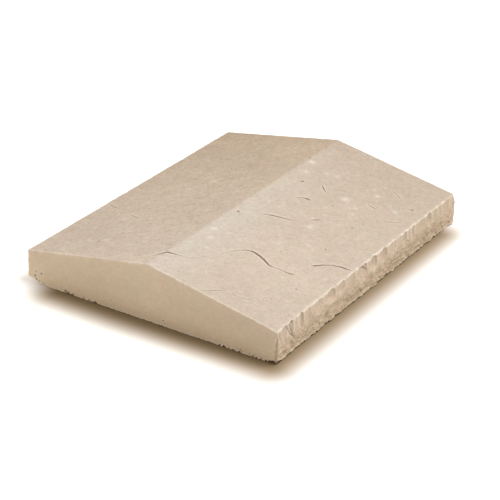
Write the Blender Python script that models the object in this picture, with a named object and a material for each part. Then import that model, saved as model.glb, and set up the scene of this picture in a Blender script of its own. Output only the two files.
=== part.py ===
# Saddleback wall cap, cast in one piece of stone.
# Two weathered slopes meet at a ridge, and the gable ends are smooth. Both long sides carry
# a row of thumb-shaped chisel scoops under a straight top arris, and the lower arris is chipped.
# Metres, +Z up. X runs along the wall, Y across it, and the origin is the middle of the bed.

import random

import bmesh
import bpy
from mathutils import Vector, noise

# Driving dimensions
CAP_LENGTH = 0.508
CAP_WIDTH = 0.410  # across the widest points of the two chiselled sides
RIDGE_HEIGHT = 0.085
EAVE_HEIGHT = 0.048  # top arris of a long side above the bed
RIDGE_FLAT = 0.003  # width of the worn flat along the ridge

# Chiselled sides
FACE_LEAN = 0.006  # how far a face swells past its top arris, at the fuller end of the side
LEAST_LEAN = 0.0025  # the same at the other end
LEAN_SPAN = 0.80  # share of the face's height that swells
STROKE_WIDTHS = (
    0.009, 0.017, 0.017, 0.009, 0.017, 0.019, 0.031, 0.034,
    0.026, 0.028, 0.034, 0.029, 0.029, 0.027, 0.015, 0.018,
    0.010, 0.014, 0.032, 0.021, 0.016, 0.016, 0.025, 0.016,
)  # chisel scoops of one side in turn, and round again on a longer cap
FULL_STROKE = 0.020  # a scoop at least this wide is cut to its full depth
STROKE_DEPTH = (0.0030, 0.0050)
STROKE_SLANT = 0.0035  # the most that a spur between two scoops leans along the side
SCOOP_MIDDLE = 0.36  # deepest place of a scoop, as a share of the face from the top
SCOOP_ARCH = 0.375  # from there up to the crown of its arch, which just nicks the top arris
SCOOP_REACH = (0.62, 1.05)  # where a scoop runs out below
SCOOP_RIM = 0.75  # under 1 gives a scoop a crisp rim
FACE_ROUGHNESS = 0.0024  # hollows of the broken lower face
ROUGH_PITCH = 0.013  # typical distance between those hollows
ROUGH_BAND = (0.3, 0.8, 0.9)  # shares of the face where they begin, are full, and fade
CORNER_SPALL = 0.0030  # stone lost from the upright corners of the chiselled sides
SPALL_RUN = 0.009

# Chipped lower arris
SIDE_CHIP_HEIGHT = (0.0020, 0.0090)  # under the chiselled sides
SIDE_CHIP_DEPTH = (0.0020, 0.0060)
END_CHIP_HEIGHT = (0.0008, 0.0032)  # under the gable ends
END_CHIP_DEPTH = (0.0006, 0.0022)
CHIP_PITCH = 0.021
CORNER_RISE = 0.0075  # height of the chips at the four lower corners
CORNER_CHIP = 0.0060
CORNER_RUN = 0.030  # how far along each arris a corner chip reaches

# Fineness of the faceted surface
COLUMN_STEP = 0.0058
FACE_ROWS = (0.0, 0.08, 0.20, 0.36, 0.54, 0.72, 0.88, 1.0)  # shares of the face, top to bottom
END_STEP = 0.009

SIDES = {"right": -1, "left": 1}  # the sign of Y on each long side
ENDS = {"near": -1, "far": 1}  # the sign of X on each gable end
SEEDS = {"right": 11, "left": 29, "near": 43, "far": 57}  # one pattern of wear for each face
DEPTH_LAYER = 0.4  # the depths of the chips follow another layer of the same pattern

HALF_LENGTH = CAP_LENGTH / 2
HALF_WIDTH = CAP_WIDTH / 2
STONE_COLOUR = (0.62, 0.50, 0.37, 1.0)


def mix(a, b, share):
    return a + (b - a) * share


def ease(share):
    """0 to 1 with level ends, and clamped outside."""
    share = min(1.0, max(0.0, share))
    return share * share * (3 - 2 * share)


def wander(along, across, pitch, layer):
    """Smooth noise from 0 to 1 over a face."""
    value = noise.noise(Vector((along / pitch, across / pitch, layer)))
    return min(1.0, max(0.0, 0.5 + value))


def slope_height(across):
    """Height of the weathered slopes at a distance from the middle line."""
    run = HALF_WIDTH - FACE_LEAN - RIDGE_FLAT / 2
    return RIDGE_HEIGHT - (RIDGE_HEIGHT - EAVE_HEIGHT) * (across - RIDGE_FLAT / 2) / run


def corner_share(distance, run):
    """1 at a corner, fading to 0 at the end of the run."""
    return max(0.0, 1 - distance / run) ** 2


def chisel_strokes(widths, seed):
    """The scoops of one side: where each starts and ends, its depth, reach and slanting spurs."""
    chosen = []
    while sum(chosen) + widths[len(chosen) % len(widths)] / 2 < CAP_LENGTH:
        chosen.append(widths[len(chosen) % len(widths)])
    fit = CAP_LENGTH / sum(chosen)
    chance = random.Random(seed)
    strokes = []
    start, slant = -HALF_LENGTH, 0.0
    for number, width in enumerate(chosen, 1):
        last = number == len(chosen)
        next_slant = 0.0 if last else chance.uniform(-STROKE_SLANT, STROKE_SLANT)
        end = HALF_LENGTH if last else start + width * fit
        strokes.append({
            "start": start,
            "end": end,
            "slants": (slant, next_slant),
            "depth": chance.uniform(*STROKE_DEPTH) * min(1.0, width / FULL_STROKE),
            "reach": chance.uniform(*SCOOP_REACH),
        })
        start, slant = end, next_slant
    return strokes


def scoop_depth(stroke, along, down):
    """Depth of a scoop, an arched hollow, at a share of its width and of the face's height."""
    across = 2 * along - 1
    if down < SCOOP_MIDDLE:
        upright = (SCOOP_MIDDLE - down) / SCOOP_ARCH
    else:
        upright = (down - SCOOP_MIDDLE) / (stroke["reach"] - SCOOP_MIDDLE)
    hollow = max(0.0, 1 - across * across - upright * upright)
    return stroke["depth"] * hollow ** SCOOP_RIM


def face_point(side, stroke, along, down):
    """Point of a chiselled face: its X, and how far it stands in from the widest line."""
    first, second = stroke["slants"]
    x = mix(stroke["start"] + first * down, stroke["end"] + second * down, along)
    fuller = 0.5 + SIDES[side] * x / CAP_LENGTH  # the right side is fuller near, the left side far
    swell = mix(LEAST_LEAN, FACE_LEAN, fuller) * ease(down / LEAN_SPAN)
    begin, full, fade = ROUGH_BAND
    rough_share = ease((down - begin) / (full - begin)) * (1 - ease((down - fade) / (1 - fade)))
    hollows = FACE_ROUGHNESS * wander(x, down * EAVE_HEIGHT, ROUGH_PITCH, SEEDS[side])
    spall = CORNER_SPALL * corner_share(HALF_LENGTH - abs(x), SPALL_RUN)
    return x, FACE_LEAN - swell + scoop_depth(stroke, along, down) + hollows * rough_share + spall


def chip_height(limits, along, seed, to_corner):
    """Height of the lower arris above the bed."""
    height = mix(*limits, wander(along, 0.0, CHIP_PITCH, seed))
    return mix(height, CORNER_RISE, corner_share(to_corner, CORNER_RUN))


def chip_depth(limits, along, seed, to_corner):
    """How far the edge of the bed stands in from the lower arris."""
    depth = mix(*limits, wander(along, 0.0, CHIP_PITCH, seed + DEPTH_LAYER))
    return mix(depth, CORNER_CHIP, corner_share(to_corner, CORNER_RUN))


def side_bed(side, point):
    """Edge of the bed under a lower arris point of a chiselled side."""
    depth = chip_depth(SIDE_CHIP_DEPTH, point.x, SEEDS[side], HALF_LENGTH - abs(point.x))
    x = point.x * (1 - CORNER_CHIP / HALF_LENGTH)
    return Vector((x, point.y - SIDES[side] * depth, 0))


def end_bed(end, point, corner_y):
    """Edge of the bed under a lower arris point of a gable end."""
    depth = chip_depth(END_CHIP_DEPTH, point.y, SEEDS[end], abs(corner_y) - abs(point.y))
    y = point.y * (1 - CORNER_CHIP / abs(corner_y))
    return Vector((point.x - ENDS[end] * depth, y, 0))


def side_columns(side, widths):
    """Columns of points down a chiselled face, from the near end to the far one."""
    sign = SIDES[side]
    columns = []
    strokes = chisel_strokes(widths, SEEDS[side])
    for stroke in strokes:
        pieces = max(2, round((stroke["end"] - stroke["start"]) / COLUMN_STEP))
        shares = [n / pieces for n in range(pieces)]
        if stroke is strokes[-1]:
            shares.append(1.0)
        for along in shares:
            column = []
            for down in FACE_ROWS:
                x, inset = face_point(side, stroke, along, down)
                y = HALF_WIDTH - inset
                if down == 0:
                    top = slope_height(y)
                low = chip_height(SIDE_CHIP_HEIGHT, x, SEEDS[side], HALF_LENGTH - abs(x))
                column.append(Vector((x, sign * y, mix(top, low, down))))
            columns.append(column)
    return columns


def end_low_points(end, from_y, to_y):
    """Lower arris of a gable end, between the corners of its two chiselled sides."""
    pieces = max(4, round(abs(to_y - from_y) / END_STEP))
    points = []
    for n in range(1, pieces):
        y = mix(from_y, to_y, n / pieces)
        corner_y = from_y if y * from_y > 0 else to_y
        height = chip_height(END_CHIP_HEIGHT, y, SEEDS[end], abs(corner_y) - abs(y))
        points.append(Vector((ENDS[end] * HALF_LENGTH, y, height)))
    return points


def chiselled_faces(bm, columns):
    for a, b in zip(columns, columns[1:]):
        for row in range(len(a) - 1):
            bm.faces.new((a[row], b[row], b[row + 1], a[row + 1]))


def bed_edge(bm, right, left, lows):
    """The lower arris all round, and the edge of the bed under each of its points."""
    right_low = [column[-1] for column in right]
    left_low = [column[-1] for column in left]
    corners = {
        "near": {1: left_low[0].co.y, -1: right_low[0].co.y},
        "far": {1: left_low[-1].co.y, -1: right_low[-1].co.y},
    }
    bed = {}
    for side, arris in (("right", right_low), ("left", left_low)):
        for vert in arris:
            bed[vert] = bm.verts.new(side_bed(side, vert.co))
    for end, arris in lows.items():
        for vert in arris:
            corner_y = corners[end][1 if vert.co.y > 0 else -1]
            bed[vert] = bm.verts.new(end_bed(end, vert.co, corner_y))
    loop = [*right_low, *lows["far"], *reversed(left_low), *reversed(lows["near"])]
    return loop, [bed[vert] for vert in loop]


def build_cap():
    """The stone as one closed mesh."""
    bm = bmesh.new()
    new = bm.verts.new
    right = [[new(p) for p in column] for column in side_columns("right", STROKE_WIDTHS)]
    left = [[new(p) for p in column] for column in side_columns("left", STROKE_WIDTHS[::-1])]
    chiselled_faces(bm, right)
    chiselled_faces(bm, left)

    # Weathered slopes and the ridge between them
    ridge = {
        (end, side): new((ENDS[end] * HALF_LENGTH, SIDES[side] * RIDGE_FLAT / 2, RIDGE_HEIGHT))
        for end in ENDS for side in SIDES
    }
    for side, columns in (("right", right), ("left", left)):
        bm.faces.new([ridge["near", side], *[column[0] for column in columns], ridge["far", side]])
    bm.faces.new((ridge["near", "left"], ridge["near", "right"], ridge["far", "right"], ridge["far", "left"]))

    # Gable ends
    lows = {}
    for end, first, last in (("near", right[0], left[0]), ("far", right[-1], left[-1])):
        lows[end] = [new(p) for p in end_low_points(end, first[-1].co.y, last[-1].co.y)]
        bm.faces.new([ridge[end, "right"], *first, *lows[end], *reversed(last), ridge[end, "left"]])

    # Bed and the chipped strip round it
    low, bed = bed_edge(bm, right, left, lows)
    for n in range(len(low)):
        bm.faces.new((low[n - 1], low[n], bed[n], bed[n - 1]))
    bm.faces.new(bed)

    bmesh.ops.recalc_face_normals(bm, faces=bm.faces)
    return bm


def stone_material():
    material = bpy.data.materials.new("cast_stone")
    material.use_nodes = True
    shader = material.node_tree.nodes["Principled BSDF"]
    shader.inputs["Base Color"].default_value = STONE_COLOUR
    shader.inputs["Roughness"].default_value = 0.85
    shader.inputs["Metallic"].default_value = 0.0
    return material


def main():
    for old in list(bpy.data.objects):
        bpy.data.objects.remove(old, do_unlink=True)
    bm = build_cap()
    mesh = bpy.data.meshes.new("wall_cap")
    bm.to_mesh(mesh)
    bm.free()
    mesh.materials.append(stone_material())
    cap = bpy.data.objects.new("wall_cap", mesh)
    bpy.context.scene.collection.objects.link(cap)


main()
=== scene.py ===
import math
import random

import bpy
import numpy as np
from mathutils import Matrix, Vector, kdtree, noise
from mathutils.geometry import delaunay_2d_cdt


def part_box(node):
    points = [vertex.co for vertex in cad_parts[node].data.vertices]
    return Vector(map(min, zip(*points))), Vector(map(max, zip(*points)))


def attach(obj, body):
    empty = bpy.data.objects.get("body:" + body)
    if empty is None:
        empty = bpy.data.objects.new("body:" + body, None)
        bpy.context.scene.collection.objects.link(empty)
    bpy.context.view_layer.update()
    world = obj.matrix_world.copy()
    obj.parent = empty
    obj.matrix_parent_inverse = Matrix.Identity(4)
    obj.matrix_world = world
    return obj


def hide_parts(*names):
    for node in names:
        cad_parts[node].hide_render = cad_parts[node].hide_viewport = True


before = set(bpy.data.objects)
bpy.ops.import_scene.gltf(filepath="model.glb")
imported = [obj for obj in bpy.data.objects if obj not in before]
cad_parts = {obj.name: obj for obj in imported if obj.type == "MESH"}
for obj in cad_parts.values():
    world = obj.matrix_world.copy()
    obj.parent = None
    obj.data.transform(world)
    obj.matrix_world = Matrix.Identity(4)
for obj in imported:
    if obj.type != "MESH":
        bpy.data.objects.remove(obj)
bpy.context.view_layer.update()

lowCorner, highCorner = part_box("wall_cap")
halfLength = highCorner.x
halfWidth = min(highCorner.y, -lowCorner.y)
ridgeHeight = highCorner.z
mm = 0.001

# The long sides are right, which the camera sees, and left. The gable ends are near and far.
sideSigns = {"right": -1, "left": 1}  # of Y
endSigns = {"near": -1, "far": 1}  # of X
# One pattern of wear for each face, and one for each kind of scattered mark
seeds = {
    "right": 11, "left": 29, "near": 43, "far": 57,
    "pits": 21, "blooms": 33, "slopes": 5, "bed": 6, "facets": 7,
}
# noise_vector, which leans the broken facets, is seeded by the clock unless it is told otherwise
noise.seed_set(seeds["facets"])

# What a user would change. Lengths are in metres, but those of listed marks are in millimetres.
wallCap = {
    "eaveHeight": 0.048,
    "ridgeSoftness": 0.0012,
    "cornerDip": (0.0013, 0.018),  # how far the slope's near right corner is worn down, and its run
    "arrisRadius": {"side": (0.0003, 0.0008), "end": (0.0006, 0.0012)},
    "arrisPitch": 0.005,
    "wearRun": 0.006,  # how far the slopes' wear reaches down the faces
    "cornerRadius": (0.0006, 0.0018),
    "cornerPitch": 0.009,
    "waves": ((0.00035, 0.075), (0.00011, 0.021), (0.00006, 0.0065)),  # height and pitch, on the slopes
    "endWaves": ((0.00025, 0.060), (0.00006, 0.012)),
    "slopeStep": 0.0025,
    "sideStep": {"right": 0.00125, "left": 0.0017},
    "endStep": {"near": 0.0009, "far": 0.0020},
    "endGridStep": 0.0028,
    "bedStep": 0.007,
    "bedHollow": (0.0005, 0.03),
    "fineGaps": (0.0003, 0.0006),  # least gap of added points to one another and to the outline
    "faceRows": 29,
    "cornerColumns": (0.25, 0.6),  # more columns by the corners, in shares of a step
    "ridgeRows": (0.0, 0.0008, 0.0019, 0.0036),
    "edgeRows": (0.0007, 0.0016, 0.0027, 0.0040, 0.0053, 0.0066),  # beside a gable's upright corners
    "edgeBand": 0.010,
}
chisel = {
    "widths": (
        0.009, 0.017, 0.017, 0.009, 0.017, 0.019, 0.031, 0.034,
        0.026, 0.028, 0.034, 0.029, 0.029, 0.027, 0.015, 0.018,
        0.010, 0.014, 0.032, 0.021, 0.016, 0.016, 0.025, 0.016,
    ),
    "boldness": (
        1.0, 0.5, 0.9, 0.8, 1.0, 0.5, 0.5, 1.1, 0.8, 0.5, 0.9, 1.3,
        1.0, 0.5, 0.4, 0.8, 0.5, 0.9, 0.3, 0.9, 0.4, 0.5, 0.4, 0.4,
    ),
    "fullWidth": 0.020,
    "depth": (0.0026, 0.0034),
    "skew": 1.9,  # above 1 the strokes are deepest towards the far end
    "slant": 0.0035,
    "middle": 0.22,
    "arch": 0.25,
    "reach": (0.45, 0.80),
    "rim": 0.75,
    "rimFoot": 1.6,  # a soft lower end
    "rimBlend": 1.5,
    "arrisInset": 0.006,
    "swell": {"right": (0.0044, 0.0048), "left": (0.0022, 0.0060)},  # below the arris, near and far
    "swellPower": 0.6,
    "draw": (0.0006, 0.0032),  # back in towards the foot
    "drawPitch": 0.017,
    "drawStart": 0.35,
    "cornerDraw": 0.2,  # share of it at the corners
    # how far the near and far corners stand out, at the arris and below it
    "flare": {"right": ((0.0020, 0.0016), (0.0, 0.0018)), "left": ((0.0012, 0.0), (0.0, 0.0))},
    "flareRun": 0.020,
    "roughness": 0.0013,
    "roughPitch": 0.013,
    "roughBand": (0.3, 0.8, 0.9),
    "spall": (0.0003, 0.0012),  # near and far
    "spallRun": 0.007,
    "spurWobble": 0.0012,
    "spurPitch": 0.02,
    "facets": 0.0022,  # flat broken facets, largest towards the foot
    "facetShare": 0.2,  # of that on smooth stone
    "facetPitch": 0.0085,
    "facetStretch": 1.4,
    "crumb": 0.0007,
    "crumbShare": 0.5,
    "crumbPitch": 0.0032,
    "cornerShare": 0.4,  # of all that at the upright corners
    "cornerRuns": {"wobble": 0.010, "draw": 0.020, "broken": 0.012, "cut": 0.012},
    "creaseWidth": 0.0016,
    # creases of the face: along from the near end, height, and strength
    "creases": {
        "right": (
            (
                (22, 48, 0), (25, 44, 0.7), (30, 37, 0.8), (36, 29, 0.8), (42, 24, 0.6), (49, 17, 0.3),
                (53, 14, 0),
            ),
            ((5, 47, 0), (6.5, 43, 0.15), (10, 33, 0.3), (13.5, 24, 0.25), (15, 20, 0)),
            ((37, 50, 0), (36, 45, 0.8), (36, 39, 0.6), (39, 32, 0.6), (42, 25, 0)),
            ((214, 49, 0), (220, 47, 0.6), (229, 44, 0.9), (238, 37, 0.6), (240, 33, 0)),
            ((145, 20, 0), (153, 23, 0.6), (160, 21, 0)),
            ((357, 34, 0), (361, 31, 0.7), (367, 27, 0)),
            ((431, 17, 0), (438, 14, 0.8), (447, 13, 0)),
        ),
        "left": (
            ((60, 44, 0), (70, 36, 0.8), (78, 25, 0.6), (82, 18, 0)),
            ((330, 47, 0), (338, 40, 0.7), (350, 33, 0.7), (356, 28, 0)),
        ),
    },
    # dents: along, height, radius, depth
    "dents": {
        "right": (
            (62.7, 47, 2.4, 1.6), (57.7, 16.8, 1.7, 1.2), (16, 11, 1.7, 1.4), (87.7, 25, 1.4, 1),
            (185.7, 11, 2.8, 2.2), (330.7, 23.5, 2.2, 1.6), (246.5, 11.8, 1.6, 1.1), (495.7, 6.5, 2, 1.6),
            (369, 11, 1.6, 1), (39, 45, 1.8, 1.4), (224, 9, 1.4, 1), (312, 14, 1.5, 1),
            (505.5, 36, 3, -2.4),  # stands out
        ),
        "left": ((120, 12, 2.4, 1.8), (301, 22, 2, 1.4), (440, 9, 1.8, 1.3)),
    },
}
chips = {
    # undercut is the depth added for each metre of height
    "faces": {
        "right": {"height": (0.0007, 0.0027), "depth": (0.0001, 0.0006), "undercut": 0.80, "tooth": 0.0013},
        "left": {"height": (0.0006, 0.0026), "depth": (0.0001, 0.0006), "undercut": 0.80, "tooth": 0.0015},
        "near": {"height": (0.0002, 0.0006), "depth": (0.0001, 0.0006), "undercut": 2.1, "tooth": 0.0036},
        "far": {"height": (0.0006, 0.0022), "depth": (0.0001, 0.0009), "undercut": 1.1, "tooth": 0.0028},
    },
    "leastHeight": 0.0003,
    "pitch": 0.018,
    # how high the foot is broken away at each corner, and how far along the side and along the gable
    "corners": {
        ("near", "right"): (0.0056, 0.018, 0.020),
        ("near", "left"): (0.0074, 0.020, 0.030),
        ("far", "right"): (0.0026, 0.012, 0.012),
        ("far", "left"): (0.0050, 0.020, 0.024),
    },
    "cornerDepth": {"right": 0.0028, "left": 0.0100},
    "toothPitch": 0.0034,
    "toothLevel": 0.44,  # the noise bites only above this
    "toothRun": 0.006,  # none at the corners
    "ragged": ((-0.194, -0.108), (0.078, 0.150)),  # the near gable's foot is bitten between these Y
    "smoothShare": 0.25,
    "notch": (0.1345, 0.0066, 0.0052),  # the near gable's one big bite: Y, half width and height
    "rings": 4,
    "crumb": 0.0006,
    "crumbPitch": 0.0035,
}
# The near right corner is broken back in a narrow cut that widens towards the foot
cornerCut = {
    "depth": 0.0016,
    "topRun": 0.0014,
    "lowRun": 0.0080,
    "ragged": (0.75, 1.25),
    "raggedPitch": 0.006,
    "start": 0.16,
    "fadeIn": 0.15,
    # painted shade in the cut
    "cutShade": 0.24,  # how dark
    "gable": 0.75,  # share of the run on the gable
}
# Edges are paler than the rest, partly from wear and partly as a painted highlight; spurs, crease lips and
# the foot line get the painted highlight too. The line of the top arris comes and goes.
paleArris = {
    "side": 0.80,
    "end": 0.35,
    "rings": (1.0, 1.0, 1.0, 0.8, 0.35),  # shares, from the slope down over the arris
    "fade": 0.0010,
    "worn": (0.25, 1.10),
    "wornPitch": 0.008,
    "foot": 0.30,
    "spur": 0.9,
    "spurReach": (0.05, 0.5),
    "crease": 0.5,
}

# Riven cracks: along from the near gable, across from the ridge (right is positive), and strength.
# The stone stands a little lower on the right hand of each path.
cracks = {
    "step": 0.0011,
    "rows": (-0.0016, -0.0007, 0.0001, 0.0007, 0.0014, 0.0025),
    "grooveDepth": 0.0011,
    "grooveWidth": 0.0010,
    "grooveShift": 0.0004,
    "widthByStrength": (0.55, 0.60),  # least, and how much more at strength 1
    "ledgeDrop": 0.0008,
    "ledgeRun": 0.009,
    "ledgeRise": 0.0006,
    # painted highlight along the crack, beside its groove
    "lips": ((-0.0012, 0.0010, 1.0), (0.0024, 0.0012, 0.6)),  # place, half width and strength
    "wobble": 0.00045,
    "wobblePitch": 0.0045,
    "paths": (
        (
            (5, -42, 0), (16, -23, 0.4), (28, -13, 0.7), (39, -6, 1.2), (46, 0, 1.3), (50, 11, 0.9),
            (54, 24, 0.3), (62, 33, 0.45), (72, 38, 0.3), (84, 44, 0.25), (98, 51, 0.35), (112, 57, 0.45),
            (124, 63, 0.6), (133, 71, 0.9), (137, 79, 1.3), (136, 88, 1.5), (131, 101, 1.4),
            (126, 112, 1.1), (127, 120, 0.6), (129, 134, 0.8), (131, 143, 1.1), (132, 147, 0),
        ),
        (
            (170, 149, 0), (173, 153, 1.2), (182, 159, 1.1), (191, 167, 0.9), (197, 175, 1.1),
            (201, 185, 1.3), (203, 196, 0.3),
        ),
        ((222, 26, 0), (229, 33, 0.35), (238, 45, 1.1), (243, 57, 1), (250, 71, 0.7), (255, 80, 0)),
        ((303, 40, 0), (309, 45, 0.6), (315, 51, 0.9), (318, 58, 1.3), (317, 65, 0)),
        ((371, 51, 0), (366, 55, 1), (358, 64, 0.8), (356, 67, 0)),
        ((271, 88, 0), (276, 93, 1), (281, 98, 0.9), (286, 103, 0)),
        ((374, 124, 0), (375, 129, 0.8), (374, 137, 0.8), (373, 141, 0)),
        ((440, 130, 0), (438, 135, 0.5), (436, 142, 0.7), (432, 148, 0.8), (430, 151, 0)),
        ((349, 160, 0), (355, 166, 0.6), (368, 182, 0.5), (371, 186, 0)),
        ((295, 111, 0), (301, 117, 0.4), (314, 131, 0.4), (319, 136, 0)),
        ((411, 169, 0), (414, 173, 0.6), (417, 178, 0.6), (418, 182, 0)),
        ((254, -60, 0), (256, -54, 0.7), (257, -45, 0.7), (259, -40, 0)),
        ((182, -194, 0), (178, -187, 0.7), (171, -171, 0.6), (168, -166, 0)),
        ((156, -141, 0), (152, -135, 0.5), (145, -119, 0.5), (142, -114, 0)),
        ((2, 76, 0), (8, 84, 0.5), (14, 90, 0.7), (22, 96, 0.6), (30, 101, 0)),
        ((34, 108, 0), (31, 114, 0.35), (30, 124, 0.4), (36, 134, 0.4), (44, 139, 0)),
        ((44, 151, 0), (49, 147, 0.3), (56, 148, 0.35), (61, 155, 0)),
    ),
}
# Pits: along, across, radius, depth
pits = {
    "handSet": (
        (425, -3, 2.6, 2.2), (88, -103, 2.2, 1.8), (53, -118, 2, 1.6), (128, -85, 1.7, 1.3),
        (63, -62, 1.7, 1.2), (208, 9, 2.4, 1.6), (203, 15, 1.3, 1), (210, -133, 1.7, 1.3),
        (275, -85, 1.8, 1.3), (356, -96, 1.7, 1.2), (288, -103, 1.7, 1.2), (44, 190, 1.2, 0.6),
        (166, 104, 1.3, 0.9), (104, 166, 1.4, 0.9), (330, 92, 1.4, 0.9), (354, 27, 2.6, 1.2),
        (59, 155, 1.3, 0.6), (220, 144, 1.6, 0.9), (240, 165, 1.3, 0.8), (17, 127, 1, 0.4),
        (414, 178, 1.9, 1.2), (300, 141, 1.8, 1), (322, 147, 1.6, 0.9), (151, -118, 1.4, 1),
        (226, -135, 1.5, 1),
    ),
    "rings": (0.45, 0.8, 1.1, 1.6),  # shares of the radius
    "scattered": {"count": 150, "radius": (0.35, 0.85), "depth": (0.25, 0.75)},
    "margins": (0.006, 0.014),
}
# Pale spots in the slopes: along, across, length, strength
blooms = {
    "grain": (0.60, -0.80),  # the way in which the stone's layers run, as X and Y
    "stretch": 1.15,
    "falloff": 1.4,
    "reach": 4,  # in lengths
    "spots": (
        (360, 96, 6.5, 0.75), (350, 118, 4, 0.5), (332, 124, 4, 0.5), (344, 112, 3, 0.4),
        (407, 123, 3.5, 0.8), (388, 163, 3.5, 0.8), (252, 99, 3.5, 0.9), (143, 11, 4, 1),
        (415, 8, 5, 0.9), (382, 17, 5, 0.6), (182, 92, 3.5, 0.5), (211, 123, 3, 0.5), (146, 51, 4, 0.4),
        (42, 31, 3, 0.4), (298, 98, 3, 0.4), (120, 20, 4, 0.5), (402, 40, 4, 0.5), (420, 112, 3, 0.6),
        (410, 105, 2.5, 0.5), (438, 120, 2.5, 0.5), (300, -90, 5, 0.5), (262, -110, 5, 0.5),
        (60, -110, 6, 0.5), (50, -130, 5, 0.4), (98, -98, 4, 0.4),
    ),
    "scattered": 130,
    "scatterLength": (1.2, 2.6),
    "scatterStrength": (0.20, 0.60),
}
# Pinholes in the cast gables: Y, Z, radius, depth
pinholes = {
    "near": (
        (187.9, 11.2, 1.7, 2.6), (177.4, 16.9, 1.6, 2.2), (186.5, 18.3, 1.1, 1.1), (185.5, 6.6, 1.3, 1.6),
        (-25.6, 8.5, 1.4, 1.3), (60, 12.3, 1.1, 0.9), (170.8, 17.5, 0.9, 0.7), (181.5, 4.6, 1.2, 1.4),
        (174, 3.2, 1.2, 1.3), (-27.5, 4.8, 1.1, 1), (-186, 19, 0.8, 0.6), (-146, 5, 1.1, 1.1),
    ),
    "far": ((-120.0, 30.0, 1.1, 1.5), (40.0, 14.0, 0.8, 1.0), (150.0, 9.0, 1.0, 1.2)),
    "scattered": {"count": 22, "radius": (0.35, 0.75), "depth": (0.25, 0.65)},
    "scatterBand": (0.009, 0.042),
    "alongFoot": {"count": 70, "radius": (0.45, 1.00), "depth": (0.40, 1.10)},
    "footBand": (0.0015, 0.0048),
    "margin": 0.015,
}


def mix(a, b, share):
    return a + (b - a) * share


def ease(share):
    share = min(1.0, max(0.0, share))
    return share * share * (3 - 2 * share)


def easeAll(shares):
    shares = np.clip(shares, 0.0, 1.0)
    return shares * shares * (3 - 2 * shares)


def wander(along, across, pitch, layer):
    value = noise.noise(Vector((along / pitch, across / pitch, layer)))
    return min(1.0, max(0.0, 0.5 + value))


def wanderAll(xs, ys, pitch, layer):
    return np.array([wander(x, y, pitch, layer) for x, y in zip(xs, ys)])


def cornerShare(distance, run):
    return max(0.0, 1 - distance / run) ** 2


def nearestDistance(targets, points):
    tree = kdtree.KDTree(len(targets))
    for n, (x, y) in enumerate(targets):
        tree.insert((x, y, 0), n)
    tree.balance()
    return np.array([tree.find((x, y, 0))[2] for x, y in points])


# Height of the plain slopes, with the ridge a little softened
def slopeHeight(y):
    run = halfWidth - chisel["arrisInset"]
    soft = wallCap["ridgeSoftness"]
    fall = (ridgeHeight - wallCap["eaveHeight"]) / run
    return ridgeHeight - fall * (math.sqrt(y * y + soft * soft) - soft)


# Cracks and ledges

def smoothPath(points, step):
    points = np.array(points, float)
    ends = np.vstack((2 * points[0] - points[1], points, 2 * points[-1] - points[-2]))
    pieces = []
    for p0, p1, p2, p3 in zip(ends, ends[1:], ends[2:], ends[3:]):
        count = max(2, math.ceil(math.dist(p1[:2], p2[:2]) / step))
        t = (np.arange(count) / count)[:, None]
        bend = (2 * p0 - 5 * p1 + 4 * p2 - p3) * t ** 2 + (3 * p1 - p0 - 3 * p2 + p3) * t ** 3
        pieces.append(0.5 * (2 * p1 + (p2 - p0) * t + bend))
    return np.vstack(pieces + [points[-1:]])


# A crack as points a step apart, each with the direction of its low side and its strength
def traceCrack(path, number, turn=-1):
    track = smoothPath([(a * mm - halfLength, turn * c * mm, s) for a, c, s in path], cracks["step"])
    heading = np.gradient(track[:, :2], axis=0)
    heading /= np.linalg.norm(heading, axis=1)[:, None]
    low = np.column_stack((heading[:, 1], -heading[:, 0]))
    turns = cracks["step"] / cracks["wobblePitch"]
    wobble = [noise.noise(Vector((n * turns, number * 7.3, 0.5))) for n in range(len(track))]
    points = track[:, :2] + low * (np.array(wobble) * 2 * cracks["wobble"])[:, None]
    return {"points": points, "low": low, "strength": np.clip(track[:, 2], 0.0, None)}


def crackRows(traced):
    rows = []
    for crack in traced:
        live = crack["strength"] > 0.02
        for offset in cracks["rows"]:
            rows += (crack["points"] + crack["low"] * offset)[live].tolist()
    return rows


# How far the cracks lower the surface, how deep in a groove each place is, for painted shade, and how much
# painted highlight their lips get
def crackRelief(traced, points, width=cracks["grooveWidth"]):
    drop = np.zeros(len(points))
    groove = np.zeros(len(points))
    lipHighlight = np.zeros(len(points))
    margin = 3 * cracks["ledgeRun"]
    for crack in traced:
        low, high = crack["points"].min(0) - margin, crack["points"].max(0) + margin
        near = np.flatnonzero(((points > low) & (points < high)).all(1))
        if not len(near):
            continue
        gaps = points[near][:, None, :] - crack["points"][None]
        closest = (gaps ** 2).sum(2).argmin(1)
        gap = gaps[np.arange(len(near)), closest]
        away = np.linalg.norm(gap, axis=1)
        strength = crack["strength"][closest]
        offset = np.sign((gap * crack["low"][closest]).sum(1)) * away
        least, more = cracks["widthByStrength"]
        reach = width * (least + more * strength)
        inGroove = np.clip(1 - np.abs(offset - cracks["grooveShift"]) / reach, 0, 1) * strength
        ledge = np.exp(-away / cracks["ledgeRun"]) * np.clip(offset / cracks["ledgeRise"], 0, 1) * strength
        drop[near] = np.maximum(drop[near], cracks["grooveDepth"] * inGroove + cracks["ledgeDrop"] * ledge)
        groove[near] = np.maximum(groove[near], inGroove)
        for lipPlace, lipWidth, share in cracks["lips"]:
            onLip = share * np.clip(1 - np.abs(offset - lipPlace) / lipWidth, 0, 1) * strength
            lipHighlight[near] = np.maximum(lipHighlight[near], onLip)
    return drop, groove, lipHighlight


# Pits and pinholes, each as its place, radius and depth

def scatterHoles(kind, low, high, seed):
    chance = random.Random(seed)
    holes = []
    for _ in range(kind["count"]):
        x, y = chance.uniform(low[0], high[0]), chance.uniform(low[1], high[1])
        holes.append((x, y, chance.uniform(*kind["radius"]) * mm, chance.uniform(*kind["depth"]) * mm))
    return holes


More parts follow.
